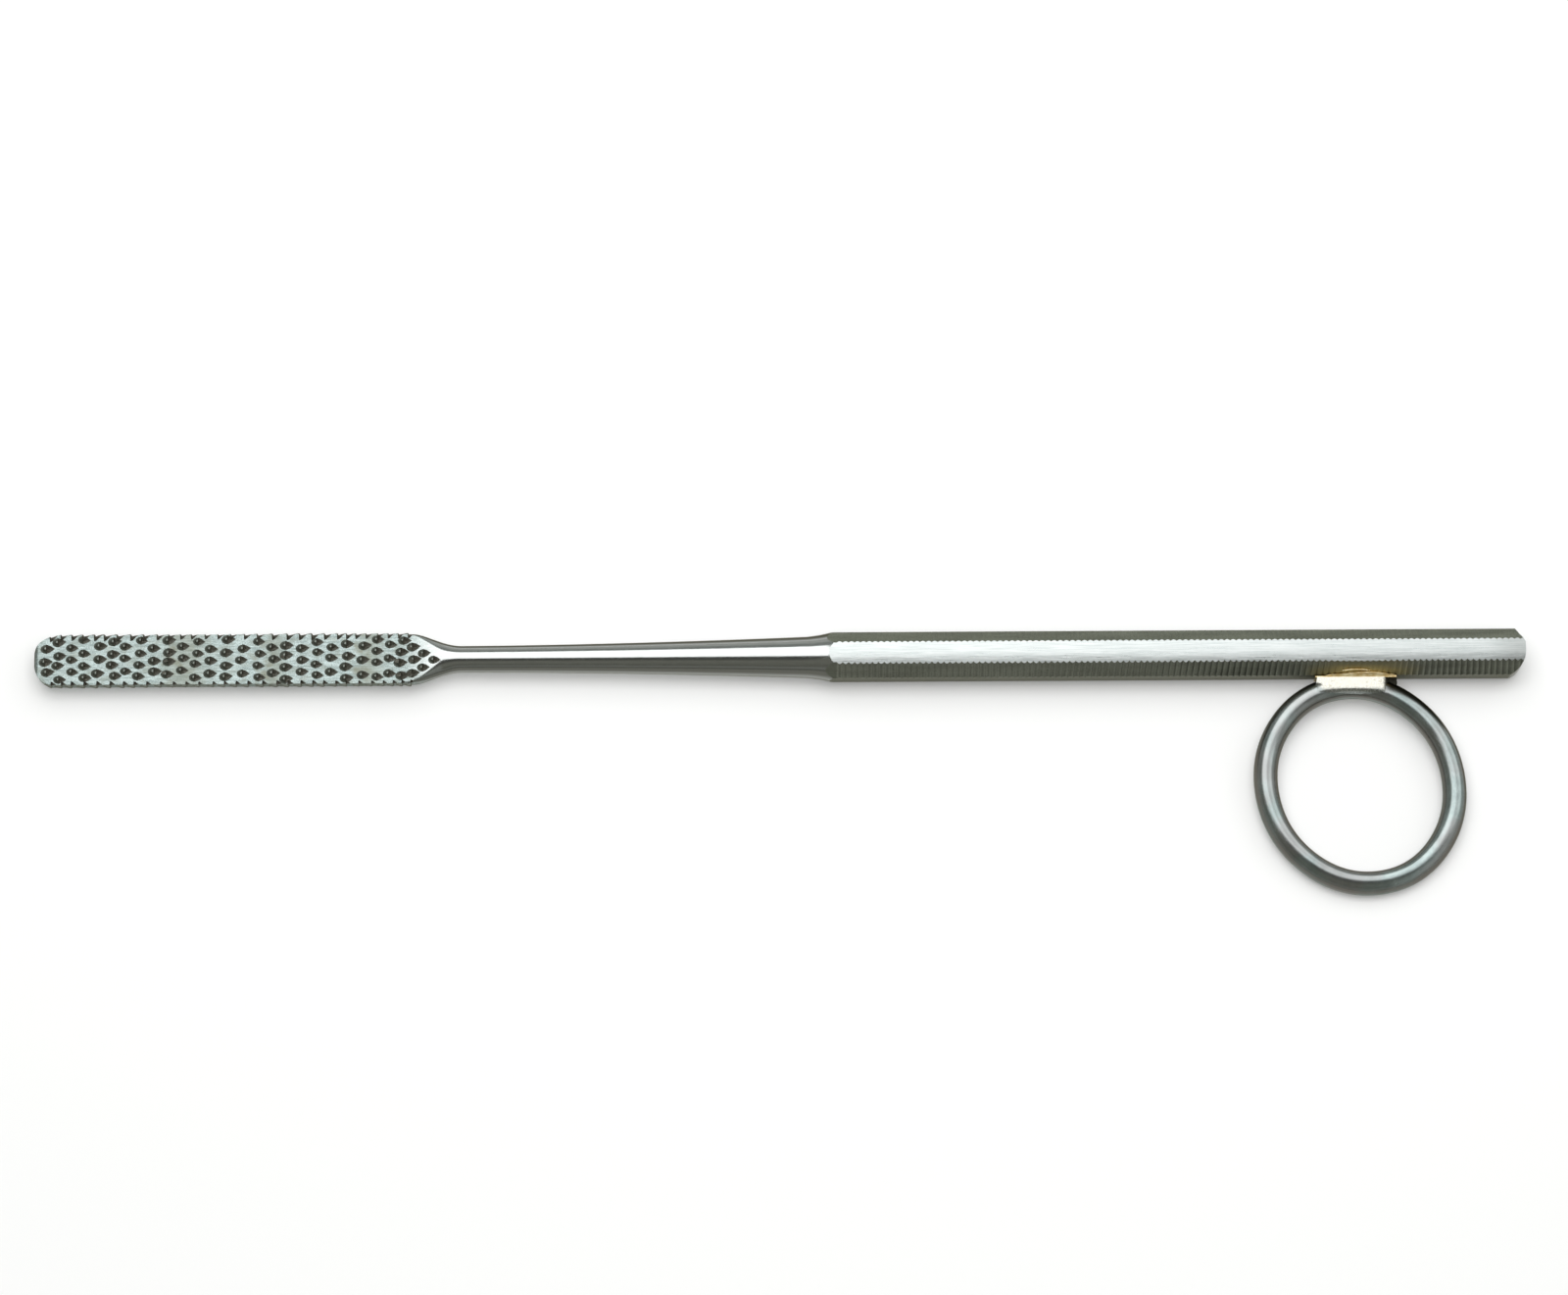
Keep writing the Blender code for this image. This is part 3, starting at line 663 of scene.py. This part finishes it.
def addShape(bm, mesh, reshape, matrix):
    known = len(bm.verts)
    bm.from_mesh(mesh)
    bm.verts.ensure_lookup_table()
    for vert in bm.verts[known:]:
        vert.co = matrix @ reshape(vert.co)


def domeReshape(back, front, half, height, sunk, crest):
    def reshape(co):
        lift = co.z * height if co.z > 0 else co.z * sunk
        slide = crest * max(co.z, 0.0)
        return Vector((co.x * (back if co.x < 0 else front) + slide, co.y * half, lift))
    return reshape


def pitReshape(length, depth, half, lean, top):
    grow = (top + depth) / depth
    along, across = teeth["pitWaist"]

    def reshape(co):
        if co.z < 0:
            return Vector((lean, 0, -depth))
        if co.x > 0.9:
            return Vector((lean + (length - lean) * grow, 0, top))
        if co.x > 0:
            return Vector((lean + length * along * grow, math.copysign(half * across * grow, co.y), top))
        return Vector((lean - lean * grow, math.copysign(half * grow, co.y), top))
    return reshape


def seatAt(x, y, z, tilt, slope, turn, size):
    # up is +z turned about the file's axis by tilt; slope follows the face's rise
    return (Matrix.Translation((x, y, z)) @ Matrix.Rotation(tilt, 4, "X") @ Matrix.Rotation(-slope, 4, "Y")
            @ Matrix.Rotation(turn, 4, "Z") @ Matrix.Scale(size, 4))


def makeTeeth():
    dome, pit = domeShape(), pitShape()
    domes, pits = bmesh.new(), bmesh.new()
    clear = teeth["pitClear"]
    domeForm = domeReshape(teeth["back"], teeth["front"], teeth["width"] / 2, teeth["height"], teeth["sunk"],
                           teeth["crestShift"])
    pitForm = pitReshape(teeth["pitLength"], teeth["pitDepth"], teeth["pitWidth"] / 2,
                         teeth["pitLean"], clear)
    edgeForm = domeReshape(teeth["edgeBack"], teeth["edgeFront"], teeth["edgeSpan"] / 2, teeth["edgeHeight"],
                           teeth["edgeSunk"], 0)
    cornerForms = {}
    for index, side in enumerate((1, -1)):
        length, depth, half = (teeth[name][index] for name in ("cornerLength", "cornerDepth", "cornerHalf"))
        cornerForms[side] = pitReshape(length, depth, half, teeth["cornerLean"], clear)
    for face in (0, 1):
        for index, (x, y) in enumerate(teeth["places"]):
            size = teeth["fullness"] + teeth["sizeScatter"] * scatter(index, face + 2)
            turn = teeth["turnScatter"] * scatter(index, face + 4)
            slope = math.atan(flatHeight(x + 0.5) - flatHeight(x - 0.5))
            across = y if face == 0 else -y
            height = flatHeight(x) * (1 if face == 0 else -1)
            seat = seatAt(x, across, height, math.pi * face, slope, turn, size)
            addShape(domes, dome, domeForm, seat)
            addShape(pits, pit, pitForm, seat)
    for side, places in ((1, teeth["farEdge"]), (-1, teeth["nearEdge"])):
        corner = blade["farCorner"] if side == 1 else blade["nearCorner"]
        back = 0.8
        for index, x in enumerate(places):
            level = bodyRadius(x) - cornerInset(x, corner)
            before = bodyRadius(x) - cornerInset(x - back, corner)
            slope = math.atan((level - before) / back)
            size = 1 + teeth["edgeScatter"] * scatter(index, side + 7)
            seat = seatAt(x, side * level, 0, -side * math.pi / 2, slope, 0, size)
            addShape(domes, dome, edgeForm, seat)
            for face in (1, -1):
                tilt = -side * math.pi / 4 if face == 1 else -side * 3 * math.pi / 4
                seat = seatAt(x, side * level, face * flatHeight(x), tilt, 0, 0, size)
                addShape(pits, pit, cornerForms[side], seat)
    return newPiece(domes, "toothDomes", [toothSteelPaintedShade()]), newPiece(pits, "toothPits", [pitSteelPaintedShade()])


def makeBody():
    body = makeStock()
    domes, pits = makeTeeth()
    combine(body, domes, "UNION", crowded=True)
    print("  teeth raised")
    combine(body, pits, "DIFFERENCE", crowded=True)
    print("  pits cut")
    combine(body, makeHandleForm(), "INTERSECT")
    print("  handle milled")
    finishPiece(body, "fileBody", "file_body", math.radians(30))


# Finger ring: an oval of round wire with its forged foot

ring = {
    "wire": 3.38,
    "long": 28.42,
    "short": 26.04,
    "longAxis": math.radians(-65.8),
    "fromAxis": 18.70,
    "aside": -0.14,
    "steps": 144,
    "wireSides": 28,
    "crestOut": 0.10,            # the wire's crest leans outward on the handle-end side
    "crestIn": 0.18,             # and inward on the side away from the handle
    "unevenness": 0.035,
    "footStart": -5.95,
    "footEnd": 5.3,
    "footDepth": 2.45,
    "footHeight": 1.74,
    "footSlant": 0.5,            # its far end leans out toward the finger
    "footBlend": 0.4,            # the share of its depth over which it runs into the wire
    "footPastCrest": 0.1,
    "footSkin": 0.03,            # it lies this far inside the wire where it runs out
    "footIntoSeat": 0.3,
    "footCuts": 19,
    "endRise": 0.9,              # its far end climbs to full height over this length
    "notchDepth": 0.55,          # and sooner where it is nearer the seat than this share of its depth
    "notchRise": 5,
    "brokenFrom": 3.55,          # rough end of the foot
    "brokenLength": 0.7,
    "brokenDrop": 1.0,
    "brokenRough": 0.2,
    "brokenBump": 0.12,
    "film": 0.14,
}
seatY = -(halfFlats + ring["film"])


def makeRing():
    wireRadius = ring["wire"] / 2
    middle = (ring["long"] + ring["short"]) / 4
    bm = bmesh.new()
    upright = Matrix.Translation((middle, 0, 0)) @ Matrix.Rotation(math.pi / 2, 4, "X")
    section = bmesh.ops.create_circle(bm, segments=ring["wireSides"], radius=wireRadius, matrix=upright)
    edges = list({edge for vert in section["verts"] for edge in vert.link_edges})
    bmesh.ops.spin(bm, geom=section["verts"] + edges, cent=(0, 0, 0), axis=(0, 0, 1), angle=2 * math.pi,
                   steps=ring["steps"], use_merge=True)
    bmesh.ops.remove_doubles(bm, verts=bm.verts, dist=1e-4)
    longAxis = Vector((math.cos(ring["longAxis"]), math.sin(ring["longAxis"]), 0))
    shortAxis = Vector((-longAxis.y, longAxis.x, 0))
    centre = Vector((ringX + ring["aside"], -ring["fromAxis"], 0))
    for vert in bm.verts:
        turn = math.atan2(vert.co.y, vert.co.x)
        radial, lift = math.hypot(vert.co.x, vert.co.y) - middle, vert.co.z
        out = longAxis * (ring["short"] * math.cos(turn)) + shortAxis * (ring["long"] * math.sin(turn))
        out.normalize()
        shift = ring["crestOut"] * max(out.x, 0.0) - ring["crestIn"] * max(-out.y, 0.0)
        radial += shift * wireRadius * (lift / wireRadius) ** 2
        radial += ring["unevenness"] * math.sin(5 * turn + 0.6) * math.cos(3 * turn)
        along, across = ring["long"] / 2 * math.cos(turn), ring["short"] / 2 * math.sin(turn)
        spine = centre + longAxis * along + shortAxis * across
        vert.co = spine + out * radial + Vector((0, 0, lift))
    piece = newPiece(bm, "ringWire", [ringSteel()])
    footFinish = footSteel()
    combine(piece, makeFoot(footFinish), "UNION")
    combine(piece, makeSeatBlock(footFinish), "DIFFERENCE")
    finishPiece(piece, "fingerRing", "finger_ring", math.radians(38))


def crestLine(x):
    # Where the wire's crest passes at a distance along the handle, on the side toward the handle.
    best = None
    for step in range(-60, 241):
        turn = math.radians(step)
        angle = turn - ring["longAxis"]
        along = ring["long"] / 2 * math.cos(angle)
        across = ring["short"] / 2 * math.sin(angle)
        spineX = along * math.cos(ring["longAxis"]) - across * math.sin(ring["longAxis"])
        spineY = along * math.sin(ring["longAxis"]) + across * math.cos(ring["longAxis"])
        spineX += ring["aside"]
        if spineY > 0 and (best is None or abs(spineX - x) < best[0]):
            best = (abs(spineX - x), spineY - ring["fromAxis"])
    return best[1]


def makeFoot(material):
    wireRadius = ring["wire"] / 2
    bm = bmesh.new()
    bmesh.ops.create_cube(bm, size=1)
    bmesh.ops.subdivide_edges(bm, edges=bm.edges, cuts=ring["footCuts"], use_grid_fill=True)
    for vert in bm.verts:
        u, v, w = vert.co
        deep = 0.5 - v                                   # 0 at the seat, 1 toward the finger
        start = ring["footStart"] - ring["footSlant"] * deep
        x = start + (ring["footEnd"] - start) * (u + 0.5)
        crest = crestLine(x)
        finish = min(seatY - ring["footDepth"], crest - ring["footPastCrest"])
        y = seatY + (finish - seatY) * deep
        wire = math.sqrt(max(wireRadius ** 2 - (y - crest) ** 2, 0.0)) - ring["footSkin"]
        fromEnd = (x - start) / ring["endRise"] + max(ring["notchDepth"] - deep, 0.0) * ring["notchRise"]
        proud = smoothstep(min((1 - deep) / ring["footBlend"], fromEnd))
        top = wire + (ring["footHeight"] - wire) * proud
        broken = smoothstep((x - ring["brokenFrom"]) / ring["brokenLength"])
        top -= ring["brokenDrop"] * broken
        rough = ring["brokenRough"] * broken * noise.noise(Vector((x, v * 3, w)) * 2.6)
        bump = ring["brokenBump"] * broken * noise.noise(Vector((x, v * 4, w)) * 2.2)
        shift = ring["footIntoSeat"] if v > 0.49 else bump
        vert.co = (ringX + x + bump, y + shift, 2 * w * (top + rough))
    return newPiece(bm, "ringFoot", [material])


def makeSeatBlock(material):
    # clears away all that stands past the handle's side
    length, depth, height = 40, 20, 10
    bm = bmesh.new()
    bmesh.ops.create_cube(bm, size=1)
    bmesh.ops.scale(bm, verts=bm.verts, vec=(length, depth, height))
    bmesh.ops.translate(bm, verts=bm.verts, vec=(ringX, seatY + depth / 2, 0))
    return newPiece(bm, "seatBlock", [material])


# Brazing metal

braze = {
    # centre and half-length along the handle, distance up the serrated side, bow, half-width, thickness, mm
    "beads": ((0.2, 5.0, 0.10, 0.0, 0.38, 0.11),
              (0.9, 3.3, 0.30, 0.32, 0.10, 0.15), (-0.5, 2.0, 0.95, 0.22, 0.09, 0.14)),
    "flatness": 0.6,
    "film": (11.4, ring["film"], 3.38),       # between the foot and the handle
    "filmShift": -0.5,
}


def makeBraze():
    bm = bmesh.new()
    for face in (1, -1):
        for centre, half, rise, bow, width, thick in braze["beads"]:
            bead = bmesh.ops.create_uvsphere(bm, u_segments=32, v_segments=12, radius=1)
            for vert in bead["verts"]:
                along, up, out = vert.co
                # climb runs up the serrated side, flat stands off it
                climb = rise + bow * (1 - along ** 2) + up * width
                flat = math.copysign(abs(out) ** braze["flatness"], out) * thick
                diagonal = math.sqrt(0.5)
                y = -halfFlats + (climb - flat) * diagonal
                z = halfSide + (climb + flat) * diagonal
                vert.co = (ringX + centre + along * half, y, face * z)
    film = bmesh.ops.create_cube(bm, size=1)["verts"]
    bmesh.ops.scale(bm, verts=film, vec=braze["film"])
    middle = (ringX + braze["filmShift"], -halfFlats - ring["film"] / 2, 0)
    bmesh.ops.translate(bm, verts=film, vec=middle)
    piece = newPiece(bm, "brazeBeads", [brassBraze()])
    finishPiece(piece, "brazeSeam", "braze_seam", math.radians(40))


makeBody()
makeRing()
makeBraze()


# Floor, light and camera

studio = {
    "turn": 14.57,                # the camera's lean from straight above, toward the ring, degrees
    "distance": 0.9,
    "sensor": 36,                 # mm
    "frameWidth": 0.2209,         # what the picture spans at the file, metres
    "centre": 0.0007,
    "above": 0.00142,             # picture centre above the handle's axis
    "spin": -0.32,                # degrees
    "boxHeight": 0.6,
    "boxX": (-0.36, 0.13),
    "fillX": (0.13, 0.85),
    "boxFar": 49.0,               # the softboxes' far and near edges from straight above, degrees
    "boxNear": -4.5,
    "boxRadiance": 1.72,
    "fillRadiance": 0.95,
    "roomRadiance": 3.0,
    "roomHalf": 0.35,
    "roomHeight": 0.9,
    "floorHalf": 4,
    "floorWhite": 0.15,           # how much of the floor's white is its own
}


def makeFloor():
    bm = bmesh.new()
    bmesh.ops.create_grid(bm, x_segments=4, y_segments=4, size=studio["floorHalf"])
    floor = newPiece(bm, "floor")
    material = bpy.data.materials.new("palePaper")
    material.use_nodes = True
    graph = Graph(material.node_tree)
    nodes, links = material.node_tree.nodes, material.node_tree.links
    shader = nodes["Principled BSDF"]
    shader.inputs["Base Color"].default_value = rgb(0.90, 0.90, 0.90)
    shader.inputs["Roughness"].default_value = 0.9
    shader.inputs["Specular IOR Level"].default_value = 0.1
    seen = ("Is Camera Ray", "Is Glossy Ray", "Is Transmission Ray")
    rays = [graph.node("LightPath", output=name) for name in seen]
    white = graph.node("Emission", None, {"Color": rgb(1, 1, 1), "Strength": 1.0})
    paper = Wire(graph, shader.outputs[0])
    ownWhite = (rays[0] + rays[1] + rays[2]) * studio["floorWhite"]
    shown = graph.node("MixShader", None, {0: ownWhite, 1: paper, 2: white})
    links.new(shown.socket, nodes["Material Output"].inputs["Surface"])
    floor.data.materials.append(material)


def makeLamp(name, left, right, near, far, height, radiance):
    lamp = bpy.data.lights.new(name, "AREA")
    lamp.shape = "RECTANGLE"
    lamp.size = right - left
    lamp.size_y = far - near
    lamp.energy = radiance * math.pi * lamp.size * lamp.size_y
    box = bpy.data.objects.new(name, lamp)
    box.location = ((left + right) / 2, (far + near) / 2, height)
    bpy.context.scene.collection.objects.link(box)
    return box


def makeLights():
    height = studio["boxHeight"]
    far = height * math.tan(math.radians(studio["boxFar"]))
    near = height * math.tan(math.radians(studio["boxNear"]))
    makeLamp("softbox", *studio["boxX"], near, far, height, studio["boxRadiance"])
    makeLamp("fillBox", *studio["fillX"], near, far, height, studio["fillRadiance"])
    # the room's own light, which falls on the floor and isn't mirrored in the steel
    half = studio["roomHalf"]
    room = makeLamp("roomLight", -half, half, -half, half, studio["roomHeight"], studio["roomRadiance"])
    room.visible_glossy = False


def makeWorld():
    world = bpy.data.worlds.new("studio")
    bpy.context.scene.world = world
    world.use_nodes = True
    graph = Graph(world.node_tree)
    x, y, z = graph.axes(graph.node("TexCoord"))
    colour = graph.blend(graph.rise(y, -0.4, 0.6), rgb(0.17, 0.17, 0.145), rgb(0.25, 0.265, 0.25))
    colour = graph.blend(graph.rise(x, 0.1, 0.75), colour, rgb(0.46, 0.475, 0.46))
    colour = graph.blend(graph.rise(z, 0.18, 0.45, 1.0, 0.0), colour, rgb(0.50, 0.51, 0.48))      # pale walls
    colour = graph.blend(graph.rise(z, 0.82, 0.94, 0.0, 0.7), colour, rgb(0.03, 0.03, 0.03))
    background = world.node_tree.nodes["Background"]
    world.node_tree.links.new(colour.socket, background.inputs["Color"])


def makeCamera():
    lean = math.radians(studio["turn"])
    back = Vector((0, -math.sin(lean), math.cos(lean)))
    up = Vector((0, math.cos(lean), math.sin(lean)))
    axis = Vector((0, rest["across"], rest["lift"])) * metresPerUnit
    target = axis + Vector((studio["centre"], 0, 0)) + up * studio["above"]
    lens = bpy.data.cameras.new("camera")
    lens.sensor_width = studio["sensor"]
    lens.lens = studio["sensor"] * studio["distance"] / studio["frameWidth"]
    camera = bpy.data.objects.new("camera", lens)
    side = up.cross(back)
    turn = Matrix((side, up, back)).transposed().to_4x4()
    camera.matrix_world = (Matrix.Translation(target + back * studio["distance"]) @ turn
                           @ Matrix.Rotation(math.radians(studio["spin"]), 4, "Z"))
    bpy.context.scene.collection.objects.link(camera)
    bpy.context.scene.camera = camera


makeFloor()
makeLights()
makeWorld()
makeCamera()
bpy.context.scene.view_settings.view_transform = "Standard"
print("stage set")
